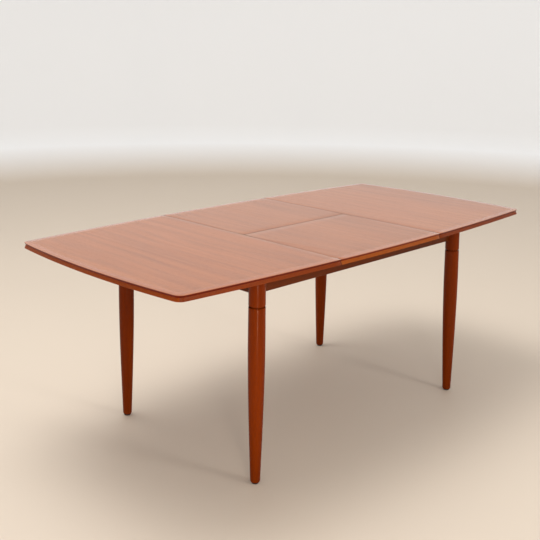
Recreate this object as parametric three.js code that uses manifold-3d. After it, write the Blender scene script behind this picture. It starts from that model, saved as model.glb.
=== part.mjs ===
// Extension dining table with two sliding end tops, a self-storing centre leaf that folds in half,
// and four round legs that screw up into turned posts. Millimetres, +Z up, +X along the table,
// origin on the floor under the middle of the top.
import * as THREE from 'three';
import { mergeVertices } from 'three/addons/utils/BufferGeometryUtils.js';
import Module from 'manifold-3d';

const wasm = await Module();
wasm.setup();

// ---- driving dimensions ----
const HEIGHT = 740;
const TOP_THICKNESS = 20;
const UNDERSIDE = HEIGHT - TOP_THICKNESS;
const TOUCH = 0.3; // gap left between pieces that touch

// Plan of the top: bowed sides and bowed ends that meet in small rounded corners.
const HALF_WIDTH = 487;
const CORNER_X = 952;
const CORNER_Y = 443;
const END_BOW = 27;
const CORNER_ROUND = 26;

// Leaf and the joints between the boards.
const LEAF_HALF_LENGTH = 288;
const END_TOP_START = 288.8;
const FOLD_HALF_GAP = 0.5;
const FOLD_CHAMFER = 1.2;

// Solid edge lipping with a V-shaped cove, mitred at the corners.
const LIPPING = { width: 25, cove: 5, coveDrop: 8, mitreGap: 0.15 };

// Round legs and posts.
const LEG_X = 563.6;
const LEG_Y = 361.2;
const POST_RADIUS = 28.5;
const NECK = { low: 606.5, high: 611.5, radius: 22 };
const STUD = { radius: 5, low: 560, high: 655 };
const GLIDE = { radius: 12, thickness: 3, nailRadius: 1.6, nailTop: 16 };

// Frame under the top.
const APRON = { thickness: 22, bottom: 650, sideFace: 363, endFace: 577 };
const RAIL = { thickness: 16, height: 22, halfLength: 530, grooveDepth: 5, grooveHeight: 7 };
const RUNNER = {
  width: 20, height: 18, start: 300, end: 540, tongue: 6, tongueHeight: 6, railGap: 2,
};
const BEARER = { inner: 299, thickness: 22, bottom: 650, top: 696 };

// Swing arms that carry the leaf. reach and rise run from the frame pivot to the leaf pivot.
const ARM = { reach: 96, rise: 25, pivotZ: 659, eye: 6.5, inner: 276, thickness: 4 };
const ARM_PIVOTS_Y = [54, 204];
const PIN = {
  radius: 4, clearance: 0.2, head: 6.5, headThickness: 2, flange: 8.5, flangeThickness: 3,
};
const BRACKET = { flange: 34, plate: 3, halfLength: 22, halfWeb: 9, outer: 274 };

// Double-pin folding hinge let into the ends of the leaf.
const FOLD = {
  pinY: 6, pinDepth: 3, eye: 2.9, pin: 1.2, hole: 1.4, lapGap: 0.5, plateEnd: 46, layer: 1.9, split: 0.2,
};
const BEYOND = 1; // how far a cutting tool runs past the faces that it cuts through

// ---- materials ----
function material(color, roughness, metalness = 0) {
  return new THREE.MeshStandardMaterial({ color, roughness, metalness });
}
const topVeneer = material(0xb5713f, 0.35);
const leafVeneer = material(0xad6c3c, 0.35);
const lippingWood = material(0x8f4a22, 0.35);
const legWood = material(0x6e2e12, 0.35);
const frameWood = material(0x94562f, 0.5);
const steel = material(0x8d9094, 0.35, 1);
const brass = material(0xb9944c, 0.3, 1);
const blackNylon = material(0x161514, 0.6);

// ---- building blocks ----
const table = new THREE.Group();

function add(parent, name, geometry, look, position = [0, 0, 0]) {
  const mesh = new THREE.Mesh(geometry, look);
  mesh.name = name;
  mesh.position.set(...position);
  parent.add(mesh);
}

function subGroup() {
  const group = new THREE.Group();
  table.add(group);
  return group;
}

/** A box from its low corner to its high corner; each pair may be given in either order. */
function block([x0, x1], [y0, y1], [z0, z1]) {
  const geometry = new THREE.BoxGeometry(Math.abs(x1 - x0), Math.abs(y1 - y0), Math.abs(z1 - z0));
  return geometry.translate((x0 + x1) / 2, (y0 + y1) / 2, (z0 + z1) / 2);
}

/** A round bar along X. */
function barX(radius, [x0, x1], y, z, segments = 16) {
  const geometry = new THREE.CylinderGeometry(radius, radius, Math.abs(x1 - x0), segments);
  return geometry.rotateZ(Math.PI / 2).translate((x0 + x1) / 2, y, z);
}

/** A plan outline of [x, y] points raised from z0 to z1. */
function slab(points, z0, z1) {
  const shape = new THREE.Shape(points.map(([x, y]) => new THREE.Vector2(x, y)));
  const geometry = new THREE.ExtrudeGeometry(shape, { depth: z1 - z0, bevelEnabled: false });
  return geometry.translate(0, 0, z0);
}

/** A section of [y, z] points drawn out along X from x0 to x1. */
function stick(points, [x0, x1]) {
  const shape = new THREE.Shape(points.map(([y, z]) => new THREE.Vector2(y, z)));
  const depth = Math.abs(x1 - x0);
  const geometry = new THREE.ExtrudeGeometry(shape, { depth, bevelEnabled: false });
  geometry.applyMatrix4(new THREE.Matrix4().set(0, 0, 1, 0, 1, 0, 0, 0, 0, 1, 0, 0, 0, 0, 0, 1));
  return geometry.translate(Math.min(x0, x1), 0, 0);
}

/** A turned piece on the Z axis from [radius, z] points, bottom to top. */
function turned(points, segments = 24) {
  const profile = points.map(([r, z]) => new THREE.Vector2(r, z));
  return new THREE.LatheGeometry(profile, segments).rotateX(Math.PI / 2);
}

function toSolid(geometry) {
  const bare = geometry.clone();
  bare.deleteAttribute('normal');
  bare.deleteAttribute('uv');
  const merged = mergeVertices(bare, 1e-4);
  return new wasm.Manifold(new wasm.Mesh({
    numProp: 3,
    vertProperties: merged.attributes.position.array,
    triVerts: new Uint32Array(merged.index.array),
  }));
}

function toGeometry(solid) {
  const mesh = solid.getMesh();
  const geometry = new THREE.BufferGeometry();
  geometry.setAttribute('position', new THREE.BufferAttribute(mesh.vertProperties, 3));
  geometry.setIndex(new THREE.BufferAttribute(mesh.triVerts, 1));
  geometry.computeVertexNormals();
  return geometry;
}

const join = (...pieces) => toGeometry(pieces.map(toSolid).reduce((a, b) => a.add(b)));
const cut = (piece, ...tools) => (
  toGeometry(tools.map(toSolid).reduce((a, b) => a.subtract(b), toSolid(piece)))
);

/**
 * A section of [inward, z] points carried along stations of {x, y, inX, inY}, where inX, inY is
 * the inward direction. The run goes clockwise round the table seen from above, and is capped at
 * both ends.
 */
function moulding(stations, section) {
  const position = [];
  for (const { x, y, inX, inY } of stations) {
    for (const [inward, z] of section) position.push(x + inX * inward, y + inY * inward, z);
  }
  const index = [];
  const size = section.length;
  for (let i = 0; i < stations.length - 1; i += 1) {
    for (let j = 0; j < size; j += 1) {
      const a = i * size + j;
      const b = i * size + (j + 1) % size;
      index.push(a, a + size, b, b, a + size, b + size);
    }
  }
  const last = (stations.length - 1) * size;
  const face = section.map(([inward, z]) => new THREE.Vector2(inward, z));
  const caps = THREE.ShapeUtils.triangulateShape(face, []);
  for (const [a, b, c] of caps) index.push(a, b, c, last + a, last + c, last + b);
  const geometry = new THREE.BufferGeometry();
  geometry.setAttribute('position', new THREE.Float32BufferAttribute(position, 3));
  geometry.setIndex(index);
  geometry.computeVertexNormals();
  return geometry;
}

// ---- plan of the top ----
const halfWidthAt = (x) => HALF_WIDTH - (HALF_WIDTH - CORNER_Y) * (x / CORNER_X) ** 2;
const halfLengthAt = (y) => CORNER_X + END_BOW * (1 - (y / CORNER_Y) ** 2);

function spaced(from, to, steps, place) {
  return Array.from({ length: steps + 1 }, (_, i) => place(from + (to - from) * i / steps));
}

/** A point of the outer outline with the point of the lipping's inner edge that it is joined to. */
const across = (x, y, innerX, innerY) => (
  { x, y, inX: (innerX - x) / LIPPING.width, inY: (innerY - y) / LIPPING.width }
);

/** The same station on another side of the table. */
const turnedOver = ({ x, y, inX, inY }, sideX, sideY) => (
  { x: x * sideX, y: y * sideY, inX: inX * sideX, inY: inY * sideY }
);

/** Stations put on another side of the table, still clockwise seen from above. */
function placed(stations, sideX, sideY) {
  const moved = stations.map((station) => turnedOver(station, sideX, sideY));
  return sideX * sideY > 0 ? moved : moved.reverse();
}

const straightX = CORNER_X - CORNER_ROUND;
const straightY = CORNER_Y - CORNER_ROUND;
const mitre = new THREE.Vector2(
  halfLengthAt(CORNER_Y - LIPPING.width) - LIPPING.width,
  halfWidthAt(CORNER_X - LIPPING.width) - LIPPING.width,
);
const corner = new THREE.QuadraticBezierCurve(
  new THREE.Vector2(straightX, halfWidthAt(straightX)),
  new THREE.Vector2(CORNER_X, CORNER_Y),
  new THREE.Vector2(halfLengthAt(straightY), straightY),
);

/** Rear lipping of the right end top, from the seam to the mitre in the rounded corner. */
function sideStations() {
  const run = spaced(END_TOP_START, straightX, 10, (x) => (
    across(x, halfWidthAt(x), x, halfWidthAt(x) - LIPPING.width)
  ));
  const bend = spaced(0.17, 0.49, 2, (t) => {
    const { x, y } = corner.getPoint(t);
    const innerX = straightX + 2 * t * (mitre.x - straightX) - LIPPING.mitreGap;
    return across(x, y, innerX, mitre.y);
  });
  return [...run, ...bend];
}

/** End lipping of the right end top, from its rear mitre to its front mitre. */
function endStations() {
  const bend = spaced(0.51, 0.83, 2, (t) => {
    const { x, y } = corner.getPoint(t);
    const innerY = straightY + 2 * (1 - t) * (mitre.y - straightY) - LIPPING.mitreGap;
    return across(x, y, mitre.x, innerY);
  });
  const run = spaced(straightY, 0, 7, (y) => (
    across(halfLengthAt(y), y, halfLengthAt(y) - LIPPING.width, y)
  ));
  const half = [...bend, ...run];
  return [...half, ...half.slice(0, -1).reverse().map((station) => turnedOver(station, 1, -1))];
}

/** Outline of the veneered panel inside the lippings of the right end top. */
function panelOutline() {
  const inset = LIPPING.width + TOUCH;
  const side = spaced(END_TOP_START, straightX, 10, (x) => [x, halfWidthAt(x) - inset]);
  const end = spaced(straightY, 0, 7, (y) => [halfLengthAt(y) - inset, y]);
  const half = [...side, [mitre.x - TOUCH, mitre.y - TOUCH], ...end];
  return [...half, ...half.slice(0, -1).reverse().map(([x, y]) => [x, -y])];
}

const lippingSection = [
  [0, HEIGHT],
  [LIPPING.cove, HEIGHT - LIPPING.coveDrop],
  [0, UNDERSIDE],
  [LIPPING.width, UNDERSIDE],
  [LIPPING.width, HEIGHT],
];

// ---- end tops: veneered panel, coved lippings on three edges, two runners underneath ----
function runnerSection(side) {
  const inner = APRON.sideFace - APRON.thickness - RAIL.thickness - RUNNER.railGap - RUNNER.width;
  const outer = inner + RUNNER.width;
  const top = UNDERSIDE - TOUCH;
  const bottom = top - RUNNER.height;
  const tongueZ = (top + bottom) / 2 - RUNNER.tongueHeight / 2;
  const points = [
    [inner, bottom],
    [outer, bottom],
    [outer, tongueZ],
    [outer + RUNNER.tongue, tongueZ],
    [outer + RUNNER.tongue, tongueZ + RUNNER.tongueHeight],
    [outer, tongueZ + RUNNER.tongueHeight],
    [outer, top],
    [inner, top],
  ];
  return points.map(([y, z]) => [y * side, z]);
}

for (const [name, side] of [['left', -1], ['right', 1]]) {
  const group = subGroup();
  const panel = panelOutline().map(([x, y]) => [x * side, y]);
  add(group, `${name}_top_panel`, slab(panel, UNDERSIDE, HEIGHT), topVeneer);
  const endRun = placed(endStations(), side, 1);
  add(group, `${name}_top_end_lipping`, moulding(endRun, lippingSection), lippingWood);
  for (const [place, front] of [['front', -1], ['rear', 1]]) {
    const sideRun = placed(sideStations(), side, front);
    add(group, `${name}_top_${place}_lipping`, moulding(sideRun, lippingSection), lippingWood);
    const runner = stick(runnerSection(front), [side * RUNNER.start, side * RUNNER.end]);
    add(group, `${name}_top_${place}_runner`, runner, frameWood);
  }
}

// ---- folding leaf: two halves hinged on the centre seam ----
const linkX = (side) => [side * (LEAF_HALF_LENGTH - FOLD.layer), side * LEAF_HALF_LENGTH];
const eyeX = (side) => {
  const outer = LEAF_HALF_LENGTH - FOLD.layer - FOLD.split;
  return [side * (outer - FOLD.layer), side * outer];
};
const foldZ = HEIGHT - FOLD.pinDepth;

function leafHalf(half) {
  const inset = LIPPING.width + TOUCH;
  const edge = spaced(-LEAF_HALF_LENGTH, LEAF_HALF_LENGTH, 8, (x) => (
    [x, half * (halfWidthAt(x) - inset)]
  ));
  const seam = half * FOLD_HALF_GAP;
  const outline = [...edge, [LEAF_HALF_LENGTH, seam], [-LEAF_HALF_LENGTH, seam]];
  const board = slab(outline, UNDERSIDE, HEIGHT);
  const chamfer = stick([
    [seam - half * BEYOND, HEIGHT - FOLD_CHAMFER - BEYOND],
    [seam + half * (FOLD_CHAMFER + BEYOND), HEIGHT + BEYOND],
    [seam - half * BEYOND, HEIGHT + BEYOND],
  ], [-LEAF_HALF_LENGTH - BEYOND, LEAF_HALF_LENGTH + BEYOND]);
  const pockets = [-1, 1].map((side) => block(
    [eyeX(side)[0] - side * TOUCH, side * (LEAF_HALF_LENGTH + BEYOND)],
    [-half * BEYOND, half * (FOLD.plateEnd + TOUCH)],
    [foldZ - FOLD.eye - TOUCH, HEIGHT + BEYOND],
  ));
  return cut(board, chamfer, ...pockets);
}

/** Hinge plate: thick where it is screwed down, thinned to half where the link laps over its eye. */
function hingePlate(side, half) {
  const lapEnd = FOLD.pinY + FOLD.eye + FOLD.lapGap;
  const z = [foldZ - FOLD.eye, foldZ + FOLD.eye];
  const thick = block([eyeX(side)[0], linkX(side)[1]], [half * lapEnd, half * FOLD.plateEnd], z);
  const thin = block(eyeX(side), [half * FOLD.pinY, half * (lapEnd + BEYOND)], z);
  const eye = barX(FOLD.eye, eyeX(side), half * FOLD.pinY, foldZ);
  const through = [eyeX(side)[0] - side * BEYOND, linkX(side)[1] + side * BEYOND];
  const bore = barX(FOLD.hole, through, half * FOLD.pinY, foldZ);
  return cut(join(thick, thin, eye), bore);
}

/** Hinge link: a flat obround with a short pin at each end that turns in a plate's eye. */
function hingeLink(side) {
  const web = block(linkX(side), [-FOLD.pinY, FOLD.pinY], [foldZ - FOLD.eye, foldZ + FOLD.eye]);
  const ends = [-1, 1].map((half) => barX(FOLD.eye, linkX(side), half * FOLD.pinY, foldZ));
  const pins = [-1, 1].map((half) => (
    barX(FOLD.pin, [eyeX(side)[0], linkX(side)[1]], half * FOLD.pinY, foldZ)
  ));
  return join(web, ...ends, ...pins);
}

/** Bracket under the rear half: screwed flange, hanging web and the riveted stud an arm turns on. */
function leafBracket(side, pivotY) {
  const top = UNDERSIDE - TOUCH;
  const pivotZ = ARM.pivotZ + ARM.rise;
  const face = BRACKET.outer;
  const armOuter = ARM.inner + ARM.thickness;
  const flange = block(
    [side * (face - BRACKET.flange), side * face],
    [pivotY - BRACKET.halfLength, pivotY + BRACKET.halfLength],
    [top - BRACKET.plate, top],
  );
  const web = block(
    [side * (face - BRACKET.plate), side * face],
    [pivotY - BRACKET.halfWeb, pivotY + BRACKET.halfWeb],
    [pivotZ - BRACKET.halfWeb, top],
  );
  const headX = armOuter + TOUCH;
  const stud = barX(PIN.radius, [side * (face - BEYOND), side * headX], pivotY, pivotZ);
  const head = barX(PIN.head, [side * headX, side * (headX + PIN.headThickness)], pivotY, pivotZ);
  return join(flange, web, stud, head);
}

for (const [name, half] of [['front', -1], ['rear', 1]]) {
  const group = subGroup();
  add(group, `${name}_leaf_panel`, leafHalf(half), leafVeneer);
  const edge = spaced(-half * LEAF_HALF_LENGTH, half * LEAF_HALF_LENGTH, 8, (x) => (
    across(x, half * halfWidthAt(x), x, half * (halfWidthAt(x) - LIPPING.width))
  ));
  add(group, `${name}_leaf_lipping`, moulding(edge, lippingSection), lippingWood);
  for (const [end, side] of [['left', -1], ['right', 1]]) {
    add(group, `${name}_leaf_${end}_hinge_plate`, hingePlate(side, half), brass);
  }
}

const links = subGroup();
for (const [end, side] of [['left', -1], ['right', 1]]) {
  add(links, `${end}_hinge_link`, hingeLink(side), brass);
}

// ---- swing arms, their pins on the frame and their brackets on the leaf ----
function swingArm(side, pivotY) {
  const length = Math.hypot(ARM.reach, ARM.rise);
  const shape = new THREE.Shape();
  shape.absarc(0, 0, ARM.eye, Math.PI / 2, Math.PI * 1.5, false);
  shape.absarc(length, 0, ARM.eye, -Math.PI / 2, Math.PI / 2, false);
  for (const centre of [0, length]) {
    const hole = new THREE.Path();
    hole.absarc(centre, 0, PIN.radius + PIN.clearance, 0, Math.PI * 2, true);
    shape.holes.push(hole);
  }
  const bar = { depth: ARM.thickness, bevelEnabled: false, curveSegments: 8 };
  const flat = new THREE.ExtrudeGeometry(shape, bar);
  flat.rotateZ(Math.atan2(ARM.rise, ARM.reach));
  flat.applyMatrix4(new THREE.Matrix4().set(0, 0, 1, 0, 1, 0, 0, 0, 0, 1, 0, 0, 0, 0, 0, 1));
  const x = side > 0 ? ARM.inner : -ARM.inner - ARM.thickness;
  return flat.translate(x, pivotY, ARM.pivotZ);
}

/** Frame pin: flange screwed to the cross bearer, shank through the arm and a head inside it. */
function pivotPin(side) {
  const base = BEARER.inner - TOUCH;
  const tip = ARM.inner - TOUCH - PIN.headThickness;
  const pin = turned([
    [0, tip],
    [PIN.head, tip],
    [PIN.head, tip + PIN.headThickness],
    [PIN.radius, tip + PIN.headThickness],
    [PIN.radius, base - PIN.flangeThickness],
    [PIN.flange, base - PIN.flangeThickness],
    [PIN.flange, base],
    [0, base],
  ], 24);
  return pin.rotateY(side * Math.PI / 2);
}

const arms = subGroup();
const frame = subGroup();
for (const [end, side] of [['left', -1], ['right', 1]]) {
  for (const [i, place] of [[0, 'front'], [1, 'rear']]) {
    const pivotY = ARM_PIVOTS_Y[i];
    add(arms, `${end}_${place}_swing_arm`, swingArm(side, pivotY), steel);
    add(frame, `${end}_${place}_pivot_pin`, pivotPin(side), steel, [0, pivotY, ARM.pivotZ]);
    add(arms, `${end}_${place}_leaf_bracket`, leafBracket(side, pivotY + ARM.reach), steel);
  }
}

// ---- legs: turned post, tapered leg with a narrow neck, threaded stud and floor glide ----
/** Radius of the lower leg against height, fullest a little below the top. */
const legCurve = new THREE.SplineCurve([
  new THREE.Vector2(17.2, 12),
  new THREE.Vector2(18.2, 50),
  new THREE.Vector2(22.1, 150),
  new THREE.Vector2(25.5, 270),
  new THREE.Vector2(28, 380),
  new THREE.Vector2(29, 490),
  new THREE.Vector2(28.5, NECK.low),
]);

function legProfile() {
  const foot = GLIDE.thickness + TOUCH;
  const nail = GLIDE.nailRadius + TOUCH;
  const bore = STUD.radius + TOUCH;
  return [
    [0, GLIDE.nailTop + TOUCH],
    [nail, GLIDE.nailTop + TOUCH],
    [nail, foot],
    [13.5, foot],
    [16, 6],
    ...legCurve.getPoints(10).map((p) => [p.x, p.y]),
    [NECK.radius, NECK.low],
    [NECK.radius, NECK.high - TOUCH],
    [bore, NECK.high - TOUCH],
    [bore, STUD.low - TOUCH],
    [0, STUD.low - TOUCH],
  ];
}

function postProfile() {
  const bore = STUD.radius + TOUCH;
  return [
    [0, STUD.high + TOUCH],
    [bore, STUD.high + TOUCH],
    [bore, NECK.high],
    [POST_RADIUS, NECK.high],
    [POST_RADIUS, UNDERSIDE - TOUCH],
    [0, UNDERSIDE - TOUCH],
  ];
}

const glideProfile = [
  [0, 0],
  [GLIDE.radius, 0],
  [GLIDE.radius, GLIDE.thickness],
  [GLIDE.nailRadius, GLIDE.thickness],
  [GLIDE.nailRadius, GLIDE.nailTop],
  [0, GLIDE.nailTop],
];

for (const [place, front] of [['front', -1], ['rear', 1]]) {
  for (const [end, side] of [['left', -1], ['right', 1]]) {
    const at = [side * LEG_X, front * LEG_Y, 0];
    add(frame, `${place}_${end}_post`, turned(postProfile()), legWood, at);
    add(frame, `${place}_${end}_leg`, turned(legProfile()), legWood, at);
    add(frame, `${place}_${end}_leg_stud`, turned([
      [0, STUD.low], [STUD.radius, STUD.low], [STUD.radius, STUD.high], [0, STUD.high],
    ], 16), steel, at);
    add(frame, `${place}_${end}_glide`, turned(glideProfile, 24), blackNylon, at);
  }
}

// ---- aprons, scribed round the posts ----
const apronZ = [APRON.bottom, UNDERSIDE - TOUCH];
const scribes = [-1, 1].flatMap((side) => [-1, 1].map((front) => {
  const tool = turned([
    [0, APRON.bottom - BEYOND],
    [POST_RADIUS + TOUCH, APRON.bottom - BEYOND],
    [POST_RADIUS + TOUCH, HEIGHT],
    [0, HEIGHT],
  ]);
  return tool.translate(side * LEG_X, front * LEG_Y, 0);
}));
const scribeDepth = POST_RADIUS * 0.6;

for (const [place, front] of [['front', -1], ['rear', 1]]) {
  const reach = LEG_X - scribeDepth;
  const face = APRON.sideFace;
  const board = block([-reach, reach], [front * (face - APRON.thickness), front * face], apronZ);
  add(frame, `${place}_apron`, cut(board, ...scribes), frameWood);
}
for (const [end, side] of [['left', -1], ['right', 1]]) {
  const reach = LEG_Y - scribeDepth;
  const face = APRON.endFace;
  const board = block([side * (face - APRON.thickness), side * face], [-reach, reach], apronZ);
  add(frame, `${end}_apron`, cut(board, ...scribes), frameWood);
}

// ---- cross bearers between the side aprons, under the runners ----
for (const [end, side] of [['left', -1], ['right', 1]]) {
  const reach = APRON.sideFace - APRON.thickness - TOUCH;
  const x = [side * BEARER.inner, side * (BEARER.inner + BEARER.thickness)];
  const bearer = block(x, [-reach, reach], [BEARER.bottom, BEARER.top]);
  add(frame, `${end}_cross_bearer`, bearer, frameWood);
}

// ---- guide rails: grooved battens on the side aprons that the runners' tongues slide in ----
for (const [place, front] of [['front', -1], ['rear', 1]]) {
  const back = APRON.sideFace - APRON.thickness - TOUCH;
  const face = back - RAIL.thickness + TOUCH;
  const top = UNDERSIDE - TOUCH;
  const grooveZ = top - RUNNER.height / 2 - RAIL.grooveHeight / 2;
  const section = [
    [face, top - RAIL.height],
    [back, top - RAIL.height],
    [back, top],
    [face, top],
    [face, grooveZ + RAIL.grooveHeight],
    [face + RAIL.grooveDepth, grooveZ + RAIL.grooveHeight],
    [face + RAIL.grooveDepth, grooveZ],
    [face, grooveZ],
  ];
  const rail = stick(section.map(([y, z]) => [y * front, z]), [-RAIL.halfLength, RAIL.halfLength]);
  add(frame, `${place}_guide_rail`, rail, frameWood);
}

export default table;
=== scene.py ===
"""Extension dining table in lacquered teak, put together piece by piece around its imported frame.

Two end tops slide on a four-legged frame, and a centre leaf folds in half and swings down between
them. Everything is in metres, +X along the table, +Y to the rear and +Z up.
"""

import math

import bmesh
import bpy
from mathutils import Matrix, Vector
from mathutils.geometry import interpolate_bezier


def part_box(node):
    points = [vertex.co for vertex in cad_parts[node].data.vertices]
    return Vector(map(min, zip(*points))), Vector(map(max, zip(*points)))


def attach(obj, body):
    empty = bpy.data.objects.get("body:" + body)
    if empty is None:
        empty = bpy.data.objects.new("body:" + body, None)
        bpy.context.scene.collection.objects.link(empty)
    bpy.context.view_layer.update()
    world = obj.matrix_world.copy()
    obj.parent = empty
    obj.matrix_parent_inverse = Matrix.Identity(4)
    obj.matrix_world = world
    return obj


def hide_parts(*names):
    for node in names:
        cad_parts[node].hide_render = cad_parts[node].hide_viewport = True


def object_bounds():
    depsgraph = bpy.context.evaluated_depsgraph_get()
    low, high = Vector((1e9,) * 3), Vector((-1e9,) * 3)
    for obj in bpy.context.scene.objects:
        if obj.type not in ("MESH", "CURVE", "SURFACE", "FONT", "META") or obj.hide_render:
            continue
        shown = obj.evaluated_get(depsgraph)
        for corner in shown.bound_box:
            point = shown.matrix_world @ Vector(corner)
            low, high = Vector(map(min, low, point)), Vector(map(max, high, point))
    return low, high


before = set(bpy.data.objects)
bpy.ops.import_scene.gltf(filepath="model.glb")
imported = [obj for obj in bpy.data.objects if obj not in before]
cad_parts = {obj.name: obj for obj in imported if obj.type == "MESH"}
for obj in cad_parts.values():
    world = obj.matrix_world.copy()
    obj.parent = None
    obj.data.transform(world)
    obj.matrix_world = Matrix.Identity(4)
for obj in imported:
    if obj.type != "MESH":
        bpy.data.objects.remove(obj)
cad_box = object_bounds()
scene = bpy.context.scene
ENDS = (("left", -1), ("right", 1))
SIDES = (("front", -1), ("rear", 1))
CORNERS = [f"{place}_{end}" for place, _ in SIDES for end, _ in ENDS]


# Camera. It stands off the table's front left corner at about head height and looks along the
# diagonal, a little down, with the lens shifted down so that the legs stay nearly upright.
EYE = Vector((-2.453, -2.305, 1.476))
HEADING, DROP, ROLL = math.radians(-44.94), math.radians(7.56), math.radians(0.74)
camera_data = bpy.data.cameras.new("camera")
camera_data.sensor_width = 36
camera_data.lens = 57.54
camera_data.shift_y = -0.22
camera_data.clip_end = 60
camera = bpy.data.objects.new("camera", camera_data)
camera.matrix_world = (
    Matrix.Translation(EYE)
    @ Matrix.Rotation(HEADING, 4, "Z")
    @ Matrix.Rotation(math.pi / 2 - DROP, 4, "X")
    @ Matrix.Rotation(ROLL, 4, "Z")
)
scene.collection.objects.link(camera)
scene.camera = camera


# Shading. A material is built around its Principled shader, one node at a time, and the numbers
# that vary over a surface are worked out as ordinary arithmetic.
class Signal:
    """One output of a material's nodes. Arithmetic on it adds Math nodes."""

    def __init__(self, shader, socket):
        self.shader = shader
        self.socket = socket

    def math(self, operation, first, second=0.0):
        return self.shader.node("ShaderNodeMath", {"operation": operation}, {0: first, 1: second})

    def __add__(self, other):
        return self.math("ADD", self, other)

    __radd__ = __add__

    def __sub__(self, other):
        return self.math("SUBTRACT", self, other)

    def __rsub__(self, other):
        return self.math("SUBTRACT", other, self)

    def __mul__(self, other):
        return self.math("MULTIPLY", self, other)

    __rmul__ = __mul__

    def __pow__(self, other):
        return self.math("POWER", self, other)

    def absolute(self):
        return self.math("ABSOLUTE", self)

    def between(self, low, high):
        """0 up to low, 1 from high on, and rising evenly between them."""
        inputs = {"Value": self, "From Min": low, "From Max": high}
        return self.shader.node("ShaderNodeMapRange", None, inputs)

    def floor(self):
        return self.math("FLOOR", self)

    def sine(self):
        return self.math("SINE", self)


class Shader:
    """A new material with its nodes."""

    def __init__(self, name):
        self.material = bpy.data.materials.new(name)
        self.material.use_nodes = True
        self.tree = self.material.node_tree
        self.principled = self.tree.nodes["Principled BSDF"]

    def fill(self, made, inputs):
        for key, value in inputs.items():
            if isinstance(value, Signal):
                self.tree.links.new(value.socket, made.inputs[key])
            else:
                made.inputs[key].default_value = value

    def node(self, kind, settings=None, inputs=None, output=0):
        """Adds a node: its settings first, then its sockets from values or signals."""
        made = self.tree.nodes.new(kind)
        for name, value in (settings or {}).items():
            if name == "stops":
                ramp = made.color_ramp.elements
                while len(ramp) < len(value):
                    ramp.new(0.5)
                for stop, (at, color) in zip(ramp, value):
                    stop.position = at
                    stop.color = color
            else:
                setattr(made, name, value)
        self.fill(made, inputs or {})
        return Signal(self, made.outputs[output])

    def place(self):
        """Where a point of the piece lies, in metres."""
        return self.node("ShaderNodeTexCoord", output="Object")

    def noise(self, vector, scale, detail=2.0, roughness=0.5):
        return self.node(
            "ShaderNodeTexNoise",
            None,
            {"Vector": vector, "Scale": scale, "Detail": detail, "Roughness": roughness},
        )

    def vector(self, x, y, z):
        return self.node("ShaderNodeCombineXYZ", None, {0: x, 1: y, 2: z})

    def mixed(self, factor, first, second, blend="MIX"):
        """Two colours mixed by a factor."""
        settings = {"data_type": "RGBA", "blend_type": blend}
        return self.node("ShaderNodeMix", settings, {0: factor, 6: first, 7: second}, output=2)

    def bump(self, height, strength, distance):
        inputs = {"Height": height, "Strength": strength, "Distance": distance}
        return self.node("ShaderNodeBump", None, inputs)

    def surface(self, inputs):
        self.fill(self.principled, inputs)
        return self.material


def rgb(code):
    """A colour as seen on screen, given as six hex digits, turned linear."""
    parts = [int(code[i : i + 2], 16) / 255 for i in (0, 2, 4)]
    return tuple(c / 12.92 if c <= 0.04045 else ((c + 0.055) / 1.055) ** 2.4 for c in parts) + (1.0,)


# Floor and light. A plain pale floor that curves up into a round white wall in an even off-white
# room, with one large soft lamp overhead, two windows, behind the camera and to its right, and a
# low warm strip that draws a line of light on the legs.
ROOM_RADIUS = 6.2
ROOM_HEIGHT = 2.6
COVE_RADIUS = 0.5
WHITE_FROM = 0.3
floor_mesh = bmesh.new()
cove = [(0, 0)] + [
    (ROOM_RADIUS - COVE_RADIUS * (1 - math.sin(a)), COVE_RADIUS * (1 - math.cos(a)))
    for a in map(math.radians, range(0, 91, 15))
]
rim = [floor_mesh.verts.new((x, 0, z)) for x, z in cove + [(ROOM_RADIUS, ROOM_HEIGHT)]]
bmesh.ops.spin(
    floor_mesh,
    geom=rim + [floor_mesh.edges.new(pair) for pair in zip(rim, rim[1:])],
    axis=(0, 0, 1),
    angle=math.tau,
    steps=96,
    use_merge=True,
)
bmesh.ops.remove_doubles(floor_mesh, verts=floor_mesh.verts, dist=1e-5)
bmesh.ops.recalc_face_normals(floor_mesh, faces=floor_mesh.faces)
bmesh.ops.reverse_faces(floor_mesh, faces=floor_mesh.faces)
for face in floor_mesh.faces:
    face.smooth = True
floor_data = bpy.data.meshes.new("floor")
floor_mesh.to_mesh(floor_data)
floor = bpy.data.objects.new("floor", floor_data)
scene.collection.objects.link(floor)
floor_shader = Shader("pale_floor")
floor_height = floor_shader.node("ShaderNodeSeparateXYZ", None, {0: floor_shader.place()}, output=2)
floor_color = floor_shader.mixed(floor_height.between(0, WHITE_FROM), rgb("c8baa9"), rgb("f0f2f4"))
floor_data.materials.append(floor_shader.surface({"Base Color": floor_color, "Roughness": 0.6}))

world = bpy.data.worlds.new("room")
world.use_nodes = True
world.node_tree.nodes["Background"].inputs["Color"].default_value = rgb("efedeb")
world.node_tree.nodes["Background"].inputs["Strength"].default_value = 1.0
scene.world = world
scene.view_settings.view_transform = "Standard"


WARM = (1.0, 0.78, 0.56)


def soft_lamp(name, place, aim, size, power, tint=(1.0, 1.0, 1.0), spread=180):
    """A rectangular lamp of a width and height that faces a point, and stays out of the picture.
    spread is the angle of its beam in degrees."""
    data = bpy.data.lights.new(name, "AREA")
    data.shape = "RECTANGLE"
    data.size, data.size_y = size
    data.energy = power
    data.color = tint
    data.spread = math.radians(spread)
    lamp = bpy.data.objects.new(name, data)
    lamp.location = place
    lamp.rotation_euler = (Vector(aim) - Vector(place)).to_track_quat("-Z", "Y").to_euler()
    lamp.visible_camera = False
    scene.collection.objects.link(lamp)


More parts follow.
